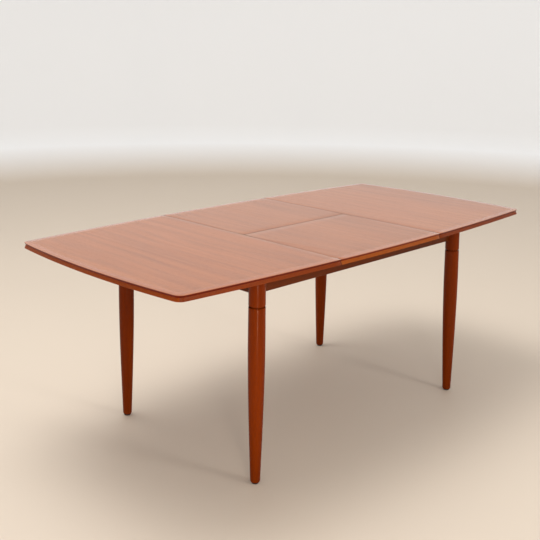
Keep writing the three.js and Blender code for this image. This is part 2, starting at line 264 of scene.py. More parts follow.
soft_lamp("overhead_lamp", (-0.8, 0.8, 4.2), (0, 0, 0.5), (2.4, 2.4), 125)
soft_lamp("rear_window", (-2.9, -3.9, 2.2), (0, 0, 0.5), (0.8, 0.8), 30)
soft_lamp("side_window", (0.9, -4.7, 2.5), (0, 0, 0.5), (0.9, 0.9), 46)
soft_lamp("low_strip", (-1.23, -1.36, 0.32), (-0.56, -0.36, 0.5), (0.1, 0.5), 0.8, WARM, 70)


# Boards of the top. Particle board 20 mm thick, faced with teak veneer whose grain runs across
# the table, in leaves about a hand and a half wide, under a satin lacquer. The edges at the joints
# are eased by hand, and painted shade darkens them. The sides and ends are bowed, and CORNER is
# where their curves would meet. UNDERCUT holds the heights between which the painted shade on the
# lippings' edges changes, as parts of the top's thickness. An edge longer than LONG is one of a
# board's own, not part of an easing or of a scribed end.
TOP = cad_box[1][2]
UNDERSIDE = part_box("right_top_panel")[0].z
SEAM_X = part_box("right_top_panel")[0].x
LEAF_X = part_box("rear_leaf_panel")[1].x
FOLD_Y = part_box("rear_leaf_panel")[0].y
HALF_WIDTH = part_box("rear_leaf_lipping")[1].y
HALF_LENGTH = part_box("right_top_end_lipping")[1].x
CORNER = Vector((0.952, 0.443))
CORNER_ROUND = 0.026
LIPPING = 0.025
GLUE_LINE = 0.0001
SEAM_EASING = 0.0003
TOUCH = 1e-5
LONG = 0.1
CREASE = math.radians(35)
WHITE = (1.0, 1.0, 1.0, 1.0)
# Painted shade at the joints: the distances from a joint over which it fades out and comes in, and its
# colour.
JOINT_SHADE_BAND = (0.0005, 0.0016)
JOINT_SHADE_RISE = (0.00005, 0.0002)
JOINT_SHADE_COLOR = rgb("2c1408")
UNDERCUT = ((0.57, 0.64), (0.89, 0.97))
FIRST_LEAF = 0.35
SHIFT_ACROSS = 7.0
SHIFT_ALONG = 11.0
RING_WAVES = 95
RING_WANDER = 26


def wood(name, tones, grain, gloss, contrast, figure=1.0, leaf_width=0.0, edge=(), joints=()):
    """Finished wood with its grain along one axis. tones are dark, middle and light, and gloss is
    the roughness, the specular level and the weight of the lacquer coat. leaf_width is that of the
    veneer's leaves, where it has any. edge, where there is one, holds the painted shade of the
    undercut below the top's upper arris and of the face below it, which have no coat. joints are the
    (axis, distance) places whose eased arrises get painted shade and lose the coat."""
    roughness, specular, coat = gloss
    shader = Shader(name)
    place = shader.place()
    axes = {
        axis: shader.node("ShaderNodeSeparateXYZ", None, {0: place}, output=index)
        for index, axis in enumerate("XYZ")
    }
    along = axes[grain]
    across, depth = (axes[axis] for axis in "XYZ" if axis != grain)
    chance = 0.5
    if leaf_width:
        number = (across * (1 / leaf_width) + FIRST_LEAF).floor()
        chance = shader.node("ShaderNodeTexWhiteNoise", {"noise_dimensions": "1D"}, {"W": number})
    shifted = across + chance * SHIFT_ACROSS
    slide = along + chance * SHIFT_ALONG

    def drawn_out(fineness, run, detail, coarseness=0.5):
        """Noise drawn out with the grain. fineness is its scale across and run its scale along."""
        vector = shader.vector(shifted * fineness, slide * run, depth * fineness)
        return shader.noise(vector, 1.0, detail, coarseness)

    warp = drawn_out(5, 0.9, 3.0)
    rings = ((shifted * RING_WAVES + warp * (RING_WANDER * figure)).sine() * 0.5 + 0.5) ** 2.2
    streaks = drawn_out(42, 1.1, 4.0, 0.6) - 0.5
    fibre = drawn_out(620, 9, 3.0, 0.6)
    clouds = drawn_out(2.2, 1.6, 2.0) - 0.5
    open_pores = drawn_out(1500, 45, 1.0).between(0.6, 0.7)
    tone = streaks * 0.75 + (fibre - 0.5) * 0.35 + clouds * 0.45 + (chance - 0.5) * 0.16 - rings * 0.16
    stops = [(0.18, tones[0]), (0.5, tones[1]), (0.82, tones[2])]
    color = shader.node("ShaderNodeValToRGB", {"stops": stops}, {0: tone * contrast + 0.5})
    color = shader.mixed(open_pores * 0.45, color, tones[0], "MULTIPLY")
    # Painted shade on a lipping's edge: the undercut darker, the face below it lighter, the top
    # untouched.
    if edge:
        undercut, below = edge
        level = axes["Z"].between(UNDERSIDE, TOP)
        lower, upper = UNDERCUT
        stops = [(lower[0], below), (lower[1], undercut), (upper[0], undercut), (upper[1], WHITE)]
        painted_shade = shader.node("ShaderNodeValToRGB", {"stops": stops}, {0: level})
        color = shader.mixed(1.0, color, painted_shade, "MULTIPLY")
        coat = level.between(*upper) * coat
    # Painted shade on the eased arrises at the joints, where the coat is also taken off.
    for axis, distance in joints:
        away = (axes[axis].absolute() - distance).absolute()
        joint_shade = (1 - away.between(*JOINT_SHADE_BAND)) * away.between(*JOINT_SHADE_RISE)
        color = shader.mixed(joint_shade, color, JOINT_SHADE_COLOR)
        coat = (1 - joint_shade) * coat
    return shader.surface(
        {
            "Base Color": color,
            "Roughness": roughness + open_pores * 0.12 - streaks * 0.08,
            "Specular IOR Level": specular,
            "Coat Weight": coat,
            "Coat Roughness": 0.12,
            "Normal": shader.bump(fibre * 0.5 - open_pores, 0.12, 0.0002),
        }
    )


def build(bm, name, body, material, nodes=()):
    """Turns a finished shape into a piece that rides on a body and stands for CAD nodes."""
    bmesh.ops.remove_doubles(bm, verts=bm.verts, dist=1e-6)
    bmesh.ops.recalc_face_normals(bm, faces=bm.faces)
    for face in bm.faces:
        face.smooth = True
    for edge in bm.edges:
        edge.smooth = edge.calc_face_angle(0.0) < CREASE
    mesh = bpy.data.meshes.new(name)
    bm.to_mesh(mesh)
    bm.free()
    mesh.materials.append(material)
    piece = bpy.data.objects.new(name, mesh)
    scene.collection.objects.link(piece)
    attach(piece, body)
    if nodes:
        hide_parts(*nodes)


def prism(points, way):
    """A flat outline of points carried along a vector."""
    bm = bmesh.new()
    face = bm.faces.new([bm.verts.new(point) for point in points])
    grown = bmesh.ops.extrude_face_region(bm, geom=[face])["geom"]
    far = [part for part in grown if isinstance(part, bmesh.types.BMVert)]
    bmesh.ops.translate(bm, vec=way, verts=far)
    return bm


def slab(outline, low, high):
    """A plan outline of (x, y) points raised from low to high."""
    return prism([(x, y, low) for x, y in outline], (0, 0, high - low))


def lies_at(edge, axis, distance):
    """Whether both ends of an edge have this coordinate, on either side of the middle."""
    return all(abs(abs(v.co[axis]) - distance) < TOUCH for v in edge.verts)


def span(edge, axis):
    """How far an edge reaches along an axis."""
    return abs(edge.verts[0].co[axis] - edge.verts[1].co[axis])


def ease(bm, edges, radius, segments=3):
    """Rounds edges over."""
    bmesh.ops.bevel(
        bm,
        geom=list(edges),
        offset=radius,
        affect="EDGES",
        segments=segments,
        profile=0.5,
        material=-1,
        clamp_overlap=True,
    )


def spaced(start, end, steps):
    """Even steps from start to end, with both."""
    return [start + (end - start) * i / steps for i in range(steps + 1)]


def half_width_at(x):
    """How far the bowed side lies from the middle."""
    return HALF_WIDTH - (HALF_WIDTH - CORNER.y) * (x / CORNER.x) ** 2


def half_length_at(y):
    """How far the bowed end lies from the middle."""
    return CORNER.x + (HALF_LENGTH - CORNER.x) * (1 - (y / CORNER.y) ** 2)


MITRE = Vector(
    (
        half_length_at(CORNER.y - LIPPING) - LIPPING,
        half_width_at(CORNER.x - LIPPING) - LIPPING,
    )
)
INSET = LIPPING + GLUE_LINE
SIDE_STEPS = 24
BOW_STEPS = 32
LACQUER = (0.3, 0.5, 0.33)
SEAM = ("X", SEAM_X)
LEAF_END = ("X", LEAF_X)
FOLD = ("Y", FOLD_Y)
TOP_TONES = (rgb("743a12"), rgb("965017"), rgb("ac6425"))
LEAF_TONES = (rgb("733a13"), rgb("924f1a"), rgb("a66027"))
teak_top = wood(
    "teak_veneer", TOP_TONES, "Y", leaf_width=0.21, contrast=0.52, gloss=LACQUER, joints=[SEAM]
)
teak_leaf = wood(
    "leaf_veneer",
    LEAF_TONES,
    "Y",
    leaf_width=0.19,
    contrast=0.5,
    gloss=LACQUER,
    joints=[LEAF_END, FOLD],
)

for end, side in ENDS:
    rear = [(x, half_width_at(x) - INSET) for x in spaced(SEAM_X, MITRE.x - GLUE_LINE, SIDE_STEPS)]
    bow = [(half_length_at(y) - INSET, y) for y in spaced(MITRE.y, -MITRE.y, BOW_STEPS)[1:-1]]
    outline = rear + bow + [(x, -y) for x, y in reversed(rear)]
    board = slab([(x * side, y) for x, y in outline], UNDERSIDE, TOP)
    at_seam = [e for e in board.edges if lies_at(e, 0, SEAM_X) and span(e, 2) < TOUCH]
    ease(board, at_seam, SEAM_EASING)
    build(board, f"{end}_top_board", f"{end}_top", teak_top, [f"{end}_top_panel"])


# Leaf boards. The same veneered board in two halves. The arris at the fold is rounded more, so
# that the halves roll over each other, and the ends are pocketed for the folding hinges.
FOLD_EASING = 0.0012
LEAF_STEPS = 20
POCKET_CLEARANCE = 0.0002
BEYOND = 0.001


def combined(operation, bm, *tools):
    """The shape with other closed shapes cut out of it or joined to it."""
    holder = bpy.data.objects.new("holder", bpy.data.meshes.new("holder"))
    bm.to_mesh(holder.data)
    bm.free()
    scene.collection.objects.link(holder)
    others = []
    for tool in tools:
        other = bpy.data.objects.new("other", bpy.data.meshes.new("other"))
        tool.to_mesh(other.data)
        tool.free()
        scene.collection.objects.link(other)
        step = holder.modifiers.new("step", "BOOLEAN")
        step.operation = operation
        step.solver = "EXACT"
        step.object = other
        others.append(other)
    result = bmesh.new()
    result.from_object(holder, bpy.context.evaluated_depsgraph_get())
    for used in [holder, *others]:
        bpy.data.objects.remove(used)
    return result


def block(corner, opposite):
    """A box between two opposite corners."""
    low, high = (Vector(map(pick, corner, opposite)) for pick in (min, max))
    bm = bmesh.new()
    bmesh.ops.create_cube(bm, size=1.0)
    bmesh.ops.scale(bm, vec=high - low, verts=bm.verts)
    bmesh.ops.translate(bm, vec=(low + high) / 2, verts=bm.verts)
    return bm


def reach(node, axis):
    """How near to the middle of the table a CAD node comes along an axis, and how far it goes."""
    low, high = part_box(node)
    return sorted((abs(low[axis]), abs(high[axis])))


for half, front in SIDES:
    far = [(x, front * (half_width_at(x) - INSET)) for x in spaced(-LEAF_X, LEAF_X, LEAF_STEPS)]
    board = slab(far + [(LEAF_X, front * FOLD_Y), (-LEAF_X, front * FOLD_Y)], UNDERSIDE, TOP)
    at_fold = [e for e in board.edges if lies_at(e, 1, FOLD_Y) and lies_at(e, 2, TOP)]
    ease(board, at_fold, FOLD_EASING)
    at_ends = [e for e in board.edges if lies_at(e, 0, LEAF_X) and lies_at(e, 2, TOP)]
    ease(board, [e for e in at_ends if span(e, 1) > LONG], SEAM_EASING)
    pockets = []
    for end, side in ENDS:
        hinge = f"{half}_leaf_{end}_hinge_plate"
        inner = side * (reach(hinge, 0)[0] - POCKET_CLEARANCE)
        back = front * (reach(hinge, 1)[1] + POCKET_CLEARANCE)
        bottom = reach(hinge, 2)[0] - POCKET_CLEARANCE
        pockets.append(block((inner, 0, bottom), (side * (LEAF_X + BEYOND), back, TOP + BEYOND)))
    board = combined("DIFFERENCE", board, *pockets)
    node = f"{half}_leaf_panel"
    build(board, f"{half}_leaf_board", f"{half}_leaf", teak_leaf, [node])


# Lippings. Solid teak strips 25 mm wide glued round the boards, mitred in the rounded corners,
# with a V-shaped cove moulded into the edge and the lips above and below it eased.
COVE = 0.005
COVE_DROP = 0.008
LIP_EASING = 0.0011
END_EASING = 0.0006
BEND_STEPS = 6
lipping_section = [
    (0, TOP),
    (COVE, TOP - COVE_DROP),
    (0, UNDERSIDE),
    (LIPPING, UNDERSIDE),
    (LIPPING, TOP),
]


def moulding(stations):
    """The lipping's section carried along pairs of outer and inner plan points."""
    seats = []
    for outer, inner in stations:
        inward = (inner - outer) / LIPPING
        seat = Matrix.Identity(4)
        seat.col[0] = (inward.x, inward.y, 0, 0)
        seat.col[1] = (-inward.y, inward.x, 0, 0)
        seat.col[3] = (outer.x, outer.y, 0, 1)
        seats.append(seat)
    bm = bmesh.new()
    corners = [bm.verts.new(seats[0] @ Vector((inward, 0, z))) for inward, z in lipping_section]
    bm.faces.new(corners)
    bmesh.ops.bevel(
        bm,
        geom=corners[:3],
        offset=LIP_EASING,
        affect="VERTICES",
        segments=3,
        profile=0.5,
        material=-1,
    )
    edges = list(bm.edges)
    for before, after in zip(seats, seats[1:]):
        grown = bmesh.ops.extrude_edge_only(bm, edges=edges)["geom"]
        verts = [part for part in grown if isinstance(part, bmesh.types.BMVert)]
        edges = [e for e in grown if isinstance(e, bmesh.types.BMEdge) and e.is_boundary]
        bmesh.ops.transform(bm, matrix=after @ before.inverted(), verts=verts)
    bmesh.ops.holes_fill(bm, edges=edges)
    return bm


def eased_ends(bm, distance):
    """Rounds the arrises of a strip's ends that lie at a distance from the middle."""
    ease(bm, [e for e in bm.edges if lies_at(e, 0, distance)], END_EASING, 2)
    return bm


def along_side(start, end, steps):
    """Outer and inner plan points of the rear lipping, from one x to another."""
    points = [(x, half_width_at(x)) for x in spaced(start, end, steps)]
    return [(Vector((x, y)), Vector((x, y - LIPPING))) for x, y in points]


def on_side(stations, side_x, side_y):
    """Plan points of the rear right lippings mirrored to another side."""
    flip = Vector((side_x, side_y))
    return [(outer * flip, inner * flip) for outer, inner in stations]


straight = CORNER - Vector((CORNER_ROUND, CORNER_ROUND))
bend = [
    Vector((straight.x, half_width_at(straight.x))),
    CORNER,
    Vector((half_length_at(straight.y), straight.y)),
]


def corner_point(t):
    """A point on the rounded corner's outline, from the side at 0 to the end at 1."""
    return bend[0] * (1 - t) ** 2 + bend[1] * (2 * t * (1 - t)) + bend[2] * t**2


side_run = along_side(SEAM_X, straight.x, SIDE_STEPS)
for t in spaced(0, 0.5, BEND_STEPS)[1:]:
    inner_x = straight.x + 2 * t * (MITRE.x - straight.x)
    side_run.append((corner_point(t), Vector((inner_x, MITRE.y))))
end_half = []
for t in spaced(0.5, 1, BEND_STEPS)[:-1]:
    inner_y = straight.y + 2 * (1 - t) * (MITRE.y - straight.y)
    end_half.append((corner_point(t), Vector((MITRE.x, inner_y))))
for y in spaced(straight.y, 0, BOW_STEPS // 2):
    end_half.append((Vector((half_length_at(y), y)), Vector((half_length_at(y) - LIPPING, y))))
end_run = end_half + list(reversed(on_side(end_half[:-1], 1, -1)))
leaf_run = along_side(-LEAF_X, LEAF_X, LEAF_STEPS)

LIPPING_LOOK = {
    "tones": (rgb("76380f"), rgb("9a5019"), rgb("ac6327")),
    "gloss": (0.3, 0.1, 1.0),
    "contrast": 0.4,
    "figure": 0.4,
}
# Painted shade for the lippings' edges, as (undercut, face below), on the sides, the ends and the
# leaf.
SIDE_EDGE_SHADE = (rgb("a04f26"), rgb("cca888"))
END_EDGE_SHADE = (rgb("b4501c"), rgb("e8c47c"))
LEAF_EDGE_SHADE = (rgb("c07440"), rgb("faf0d0"))
side_teak = wood("side_lipping_teak", grain="X", edge=SIDE_EDGE_SHADE, joints=[SEAM], **LIPPING_LOOK)
end_teak = wood("end_lipping_teak", grain="Y", edge=END_EDGE_SHADE, **LIPPING_LOOK)
leaf_teak = wood("leaf_lipping_teak", grain="X", edge=LEAF_EDGE_SHADE, joints=[LEAF_END], **LIPPING_LOOK)

for end, side in ENDS:
    top = f"{end}_top"
    strip = moulding(on_side(end_run, side, 1))
    build(strip, f"{end}_end_strip", top, end_teak, [f"{top}_end_lipping"])
    for place, front in SIDES:
        strip = eased_ends(moulding(on_side(side_run, side, front)), SEAM_X)
        node = f"{top}_{place}_lipping"
        build(strip, f"{end}_{place}_strip", top, side_teak, [node])
for half, front in SIDES:
    leaf = f"{half}_leaf"
    strip = eased_ends(moulding(on_side(leaf_run, 1, front)), LEAF_X)
    build(strip, f"{leaf}_strip", leaf, leaf_teak, [f"{leaf}_lipping"])


# Posts and legs. Turned in solid red-brown wood, grain upright. The posts are the frame's
# corners. Each leg swells slightly, tapers to a rounded foot and ends above in a narrow neck.
# Below, points of a turned outline are (radius, height).
OILED = (0.2, 0.07, 0.0)
LEG_TONES = (rgb("4a1600"), rgb("722800"), rgb("883700"))
leg_wood = wood("leg_teak", LEG_TONES, "Z", contrast=0.4, figure=0.5, gloss=OILED)
POST_RADIUS = 0.0285
NECK_RADIUS = 0.022
NECK_LOW = 0.6065
ARRIS = 0.001
FOOT_LOW = 0.0044
FOOT = (0.0125, FOOT_LOW)
FOOT_BEND = ((0.0157, FOOT_LOW), (0.0166, 0.0078))
ANKLE = (0.0170, 0.012)
SHIN_BEND = ((0.0224, 0.162), (0.0290, 0.330))
BELLY = (0.0290, 0.490)
THIGH_BEND = ((0.0290, 0.540), (POST_RADIUS, 0.575))
SHOULDER = (POST_RADIUS, NECK_LOW - ARRIS)
LEG_STUD_RADIUS = 0.005
NAIL_RADIUS = 0.0016
CLEARANCE = 0.0003
TURNED_STEPS = 72


def turned(outline, centre, steps=TURNED_STEPS):
    """An outline of (radius, height) points spun round an upright line through centre."""
    bm = bmesh.new()
    verts = [bm.verts.new((centre.x + radius, centre.y, z)) for radius, z in outline]
    edges = [bm.edges.new(pair) for pair in zip(verts, verts[1:])]
    bmesh.ops.spin(
        bm,
        geom=verts + edges,
        cent=(centre.x, centre.y, 0),
        axis=(0, 0, 1),
        angle=math.tau,
        steps=steps,
        use_merge=True,
    )
    bmesh.ops.remove_doubles(bm, verts=bm.verts, dist=1e-6)
    return bm


def curve(start, handles, end, steps):
    """Points on a cubic curve between two points, without the first."""
    knots = [Vector((radius, height, 0)) for radius, height in (start, *handles, end)]
    return [(p.x, p.y) for p in interpolate_bezier(*knots, steps)][1:]


def arc(centre, radius, start, end, steps=5):
    """Points on a circle arc, angles in degrees."""
    angles = [math.radians(a) for a in spaced(start, end, steps)]
    return [(centre[0] + radius * math.cos(a), centre[1] + radius * math.sin(a)) for a in angles]


stud_bore = LEG_STUD_RADIUS + CLEARANCE
nail_bore = NAIL_RADIUS + CLEARANCE
for corner in CORNERS:
    stud_low, stud_high = reach(f"{corner}_leg_stud", 2)
    node = f"{corner}_post"
    low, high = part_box(node)
    centre = (low + high) / 2
    bore_high, bore_low = stud_high + CLEARANCE, stud_low - CLEARANCE
    post = [(0, bore_high), (stud_bore, bore_high), (stud_bore, low.z)]
    post += arc((POST_RADIUS - ARRIS, low.z + ARRIS), ARRIS, -90, 0)
    post += [(POST_RADIUS, high.z), (0, high.z)]
    build(turned(post, centre), f"{corner}_turned_post", "frame", leg_wood, [node])

    node = f"{corner}_leg"
    neck_high = reach(node, 2)[1]
    nail_high = reach(f"{corner}_glide", 2)[1] + CLEARANCE
    leg = [(0, nail_high), (nail_bore, nail_high), (nail_bore, FOOT_LOW), FOOT]
    leg += curve(FOOT, FOOT_BEND, ANKLE, 8)
    leg += curve(ANKLE, SHIN_BEND, BELLY, 24)
    leg += curve(BELLY, THIGH_BEND, SHOULDER, 10)
    leg += arc((POST_RADIUS - ARRIS, NECK_LOW - ARRIS), ARRIS, 0, 90)[1:]
    leg += [(NECK_RADIUS, NECK_LOW), (NECK_RADIUS, neck_high), (stud_bore, neck_high)]
    leg += [(stud_bore, bore_low), (0, bore_low)]
    build(turned(leg, centre), f"{corner}_turned_leg", "frame", leg_wood, [node])


# Aprons. Solid boards tenoned between the posts, with their ends scribed to the round and their
# lower edges eased.
APRON_TONES = (rgb("3d1605"), rgb("5c270b"), rgb("703612"))
apron_x = wood("side_apron_teak", APRON_TONES, "X", contrast=0.4, figure=0.5, gloss=OILED)
apron_y = wood("end_apron_teak", APRON_TONES, "Y", contrast=0.4, figure=0.5, gloss=OILED)
APRON_EASING = 0.0018
SCRIBED_RADIUS = POST_RADIUS + GLUE_LINE
post_low, post_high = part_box("rear_right_post")
POST_AT = (post_low + post_high) / 2


def apron_plan(node, along, out):
    """The plan of an apron that runs along one axis, out from the middle on the other, with both
    ends on the posts' round. Its points are (along, out)."""
    near, far = reach(node, out)
    half = [
        (POST_AT[along] - math.sqrt(SCRIBED_RADIUS**2 - (place - POST_AT[out]) ** 2), place)
        for place in spaced(near, far, 10)
    ]
    return half + [(-x, place) for x, place in reversed(half)]


def eased_below(outline, low, high):
    """A board from low to high whose long lower edges are eased."""
    bm = slab(outline, low, high)
    ease(bm, [e for e in bm.edges if lies_at(e, 2, low) and e.calc_length() > LONG], APRON_EASING)
    return bm


for place, front in SIDES:
    node = f"{place}_apron"
    outline = [(x, y * front) for x, y in apron_plan(node, 0, 1)]
    board = eased_below(outline, *reach(node, 2))
    build(board, f"{place}_side_apron", "frame", apron_x, [node])
for end, side in ENDS:
    node = f"{end}_apron"
    outline = [(x * side, y) for y, x in apron_plan(node, 1, 0)]
    board = eased_below(outline, *reach(node, 2))
    build(board, f"{end}_end_apron", "frame", apron_y, [node])


# Glides. Black nylon pads 24 mm across under the legs, each nailed into the foot through its
# middle. Their rims are rounded so that they don't catch on the floor.
nylon_shader = Shader("black_nylon")
nylon_grain = nylon_shader.noise(nylon_shader.place(), 900.0, 2.0)
black_nylon = nylon_shader.surface(
    {
        "Base Color": nylon_shader.mixed(nylon_grain, rgb("131211"), rgb("1f1d1c")),
        "Roughness": nylon_grain * 0.2 + 0.45,
        "Normal": nylon_shader.bump(nylon_grain, 0.2, 0.0001),
    }
)
GLIDE_RIM = 0.0009
GLIDE_STEPS = 48
UPPER_RIM = GLIDE_RIM / 2
PAD_HIGH = FOOT_LOW - CLEARANCE

for corner in CORNERS:
    node = f"{corner}_glide"
    low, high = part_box(node)
    radius = (high.x - low.x) / 2
    pad = [(0, low.z)]
    pad += arc((radius - GLIDE_RIM, low.z + GLIDE_RIM), GLIDE_RIM, -90, 0)
    pad += arc((radius - UPPER_RIM, PAD_HIGH - UPPER_RIM), UPPER_RIM, 0, 90, 3)
    pad += [(NAIL_RADIUS, PAD_HIGH), (NAIL_RADIUS, high.z), (0, high.z)]
    glide = turned(pad, (low + high) / 2, GLIDE_STEPS)
    build(glide, f"{corner}_pad", "frame", black_nylon, [node])


# Steel and screws. The hardware is bright zinc plate gone a little dull. Countersunk slotted
# screws hold it and the battens, and their heads stand a hair out of the wood. HEAD_CONE, the
# head's depth and its radius at that depth, and the slot's sizes are all parts of its radius.
zinc_shader = Shader("zinc_plate")
zinc_cloud = zinc_shader.noise(zinc_shader.place(), 60.0, 4.0, 0.65)
zinc_grain = zinc_shader.noise(zinc_shader.place(), 1400.0, 1.0)
zinc = zinc_shader.surface(
    {
        "Base Color": zinc_shader.mixed(zinc_cloud, rgb("85888c"), rgb("b3b3ae")),
        "Metallic": 1.0,
        "Roughness": zinc_cloud * 0.25 + 0.24,
        "Normal": zinc_shader.bump(zinc_grain, 0.1, 0.0001),
    }
)
SCREW_RISE = 0.0003
SCREW_STEPS = 20
HEAD_CONE = (0.6, 0.5)
SLOT_HALF_WIDTH = 0.12
SLOT_DEPTH = 0.25
SLOT_REACH = 1.1
FIRST_TURN, NEXT_TURN = 37, 71


def screw_head(radius):
    """A slotted head facing +Z, with its rim at the origin's height and its cone below."""
    depth, core = (part * radius for part in HEAD_CONE)
    dome = arc((radius - SCREW_RISE, 0), SCREW_RISE, 0, 90, 2)
    outline = [(0, -depth), (core, -depth), *dome, (0, SCREW_RISE)]
    head = turned(outline, Vector((0, 0, 0)), SCREW_STEPS)
    bmesh.ops.recalc_face_normals(head, faces=head.faces)
    end, half_width = radius * SLOT_REACH, radius * SLOT_HALF_WIDTH
    slot = block((-end, -half_width, -radius * SLOT_DEPTH), (end, half_width, BEYOND))
    return combined("DIFFERENCE", head, slot)


def screws(name, body, places, facing, radius, metal=zinc):
    """One piece of like screw heads, each turned its own way about its axis."""
    one = screw_head(radius)
    template = bpy.data.meshes.new("screw")
    one.to_mesh(template)
    one.free()
    upright = Vector(facing).to_track_quat("Z", "Y").to_matrix().to_4x4()
    group = bmesh.new()
    for count, place in enumerate(places):
        before = set(group.verts)
        group.from_mesh(template)
        fresh = [v for v in group.verts if v not in before]
        turn = Matrix.Rotation(math.radians(FIRST_TURN + NEXT_TURN * count), 4, "Z")
        bmesh.ops.transform(group, matrix=Matrix.Translation(place) @ upright @ turn, verts=fresh)
    build(group, name, body, metal)


# Cross bearers. Two planed battens tenoned between the side aprons, which carry the swing arms'
# pins on their inner faces. Their long edges are eased.
BATTEN_EASING = 0.0012


def eased_block(low, high, radius):
    bm = block(low, high)
    ease(bm, bm.edges, radius)
    return bm


for end, _ in ENDS:
    node = f"{end}_cross_bearer"
    bearer = eased_block(*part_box(node), BATTEN_EASING)
    build(bearer, f"{end}_bearer", "frame", apron_y, [node])


# Guide rails. Grooved battens screwed to the inside of the side aprons. The tops' runners slide
# along them on a tongue.
GROOVE_DEPTH = 0.005
GROOVE_HEIGHT = 0.007
RUNNER_HEIGHT = 0.018
SLIDE_EASING = 0.0005
RAIL_SCREW = 0.0028
RAIL_SCREWS_X = (-0.46, -0.23, 0.0, 0.23, 0.46)


def drawn_along_x(section, front, node):
    """A section of (distance from the middle, height) points drawn out on the front or the rear
    side, as long as a CAD node, with its long edges eased."""
    low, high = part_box(node)
    bm = prism([(low.x, y * front, z) for y, z in section], (high.x - low.x, 0, 0))
    ease(bm, [e for e in bm.edges if span(e, 0) > TOUCH], SLIDE_EASING, 2)
    return bm


for place, front in SIDES:
    node = f"{place}_guide_rail"
    face, back = reach(node, 1)
    bottom, top = reach(node, 2)
    groove = top - RUNNER_HEIGHT / 2 - GROOVE_HEIGHT / 2
    section = [
        (face, bottom),
        (back, bottom),
        (back, top),
        (face, top),
        (face, groove + GROOVE_HEIGHT),
        (face + GROOVE_DEPTH, groove + GROOVE_HEIGHT),
        (face + GROOVE_DEPTH, groove),
        (face, groove),
    ]
    rail = drawn_along_x(section, front, node)
    build(rail, f"{place}_rail", "frame", apron_x, [node])
    height = (bottom + groove) / 2
    places = [(x, front * (face - SCREW_RISE / 3), height) for x in RAIL_SCREWS_X]
    screws(f"{place}_rail_screws", "frame", places, (0, -front, 0), RAIL_SCREW)


# Runners. Tongued battens screwed up into the underside of each end top. Their tongues ride in
# the guide rails' grooves.
TONGUE = 0.006
RUNNER_SCREW = 0.0035
RUNNER_SCREWS = 3
RUNNER_MARGIN = 0.03

for end, side in ENDS:
    for place, front in SIDES:
        node = f"{end}_top_{place}_runner"
        low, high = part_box(node)
        inner, tip = reach(node, 1)
        outer = tip - TONGUE
        tongue = (low.z + high.z) / 2 - TONGUE / 2
        section = [
            (inner, low.z),
            (outer, low.z),
            (outer, tongue),
            (tip, tongue),
            (tip, tongue + TONGUE),
            (outer, tongue + TONGUE),
            (outer, high.z),
            (inner, high.z),
        ]
        runner = drawn_along_x(section, front, node)
        name = f"{end}_{place}_slide_batten"
        build(runner, name, f"{end}_top", apron_x, [node])
        xs = spaced(low.x + RUNNER_MARGIN, high.x - RUNNER_MARGIN, RUNNER_SCREWS - 1)
        places = [(x, front * (inner + outer) / 2, low.z) for x in xs]
        name = f"{end}_{place}_batten_screws"
        screws(name, f"{end}_top", places, (0, 0, -1), RUNNER_SCREW)


# Swing arms. Four flat steel bars with round ends. Each turns on a pin on the frame and on a
# riveted stud under the leaf, so that the leaf swings down level between the end tops.
ARM_EYE = 0.0065
ARM_EASING = 0.0005
PIN_RADIUS = 0.004
ARM_HOLE = 0.0042
ROD_STEPS = 32


def rod_along_x(outline, y, z, side):
    """A turned outline of (radius, distance from the middle of the table), laid along X."""
    bm = turned(outline, Vector((0, 0, 0)), ROD_STEPS)
    seat = Matrix.Translation((0, y, z)) @ Matrix.Rotation(side * math.pi / 2, 4, "Y")
    bmesh.ops.transform(bm, matrix=seat, verts=bm.verts)
    bmesh.ops.recalc_face_normals(bm, faces=bm.faces)
    return bm


def disc_along_x(radius, start, end, y, z, side):
    return rod_along_x([(0, start), (radius, start), (radius, end), (0, end)], y, z, side)


def flat_bar(outline, thickness, easing, seat):
    """A flat bar whose two faces' edges are eased, moved to its place."""
    bm = slab(outline, 0, thickness)
    ease(bm, [e for e in bm.edges if span(e, 2) < TOUCH], easing, 2)
    bmesh.ops.transform(bm, matrix=Matrix(seat), verts=bm.verts)
    bmesh.ops.recalc_face_normals(bm, faces=bm.faces)
    return bm


for end, side in ENDS:
    for place, _ in SIDES:
        node = f"{end}_{place}_swing_arm"
        low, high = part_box(node)
        near, far = reach(node, 0)
        pivot = Vector((low.y + ARM_EYE, low.z + ARM_EYE))
        run = Vector((high.y - ARM_EYE, high.z - ARM_EYE)) - pivot
        way = run.normalized()
        outline = arc((run.length, 0), ARM_EYE, -90, 90, 16) + arc((0, 0), ARM_EYE, 90, 270, 16)
        seat = [
            (0, 0, 1, low.x),
            (way.x, -way.y, 0, pivot.x),
            (way.y, way.x, 0, pivot.y),
            (0, 0, 0, 1),
        ]
        bar = flat_bar(outline, far - near, ARM_EASING, seat)
        holes = [
            disc_along_x(ARM_HOLE, near - BEYOND, far + BEYOND, at.x, at.y, side)
            for at in (pivot, pivot + run)
        ]
        bar = combined("DIFFERENCE", bar, *holes)
        build(bar, f"{end}_{place}_arm_bar", f"{place}_arm_pair", zinc, [node])


# Frame pins. Turned steel pins with a flange that is screwed to the cross bearer, and a domed
# head that keeps the arm on.
PIN_HEAD = 0.0065
HEAD_THICKNESS = 0.002
FLANGE_RADIUS = 0.0085
FLANGE_THICKNESS = 0.003
FLANGE_EASING = 0.0005
PIN_SCREW = 0.0018
PIN_SCREW_TURNS = [math.radians(a) for a in (90, 210, 330)]
DOME = ((0.55, 0.0002), (0.9, 0.0007), (1.0, 0.0012))


def domed_head(tip):
    """The free end of a pin: a head whose outer face is domed, from the axis to the shank."""
    dome = [(PIN_HEAD * part, tip + depth) for part, depth in DOME]
    under = tip + HEAD_THICKNESS
    return [(0, tip), *dome, (PIN_HEAD, under), (PIN_RADIUS, under)]


